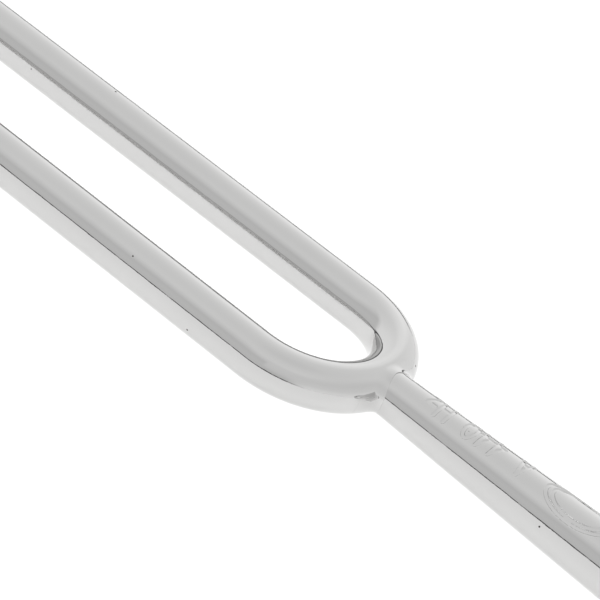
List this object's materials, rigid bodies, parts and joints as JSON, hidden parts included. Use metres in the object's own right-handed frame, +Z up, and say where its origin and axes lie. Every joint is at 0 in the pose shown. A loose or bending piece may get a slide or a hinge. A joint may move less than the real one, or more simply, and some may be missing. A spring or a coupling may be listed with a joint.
{
  "type": "tuning fork",
  "caption": "Tuning fork with round U-bent prongs, a tapering turned stem brazed into the crown and a ball foot, bright plated.",
  "frame": {"origin": "under the middle of the fork's length, on its centre line, level with the lowest point of the ball foot", "axes": "+X from the prong tips to the ball foot, +Y across the two prongs, +Z up, square to the plane of the prongs"},
  "size_m": [0.1226, 0.02, 0.008],
  "materials": {
    "prong_plating": "bright plating on hand-polished steel bar, with fine wipe marks and a few pits",
    "stem_plating": "bright plating on turned and polished steel, engraved with a plain pitch mark",
    "fillet_plating": "bright plating over ground and polished braze metal, slightly uneven",
    "ball_plating": "bright plating on a polished steel ball, with light contact wear at its end"
  },
  "bodies": {
    "root": {"prong_bar": "prong_plating", "stem": "stem_plating", "braze_fillet": "fillet_plating", "foot_ball": "ball_plating"}
  },
  "joints": []
}
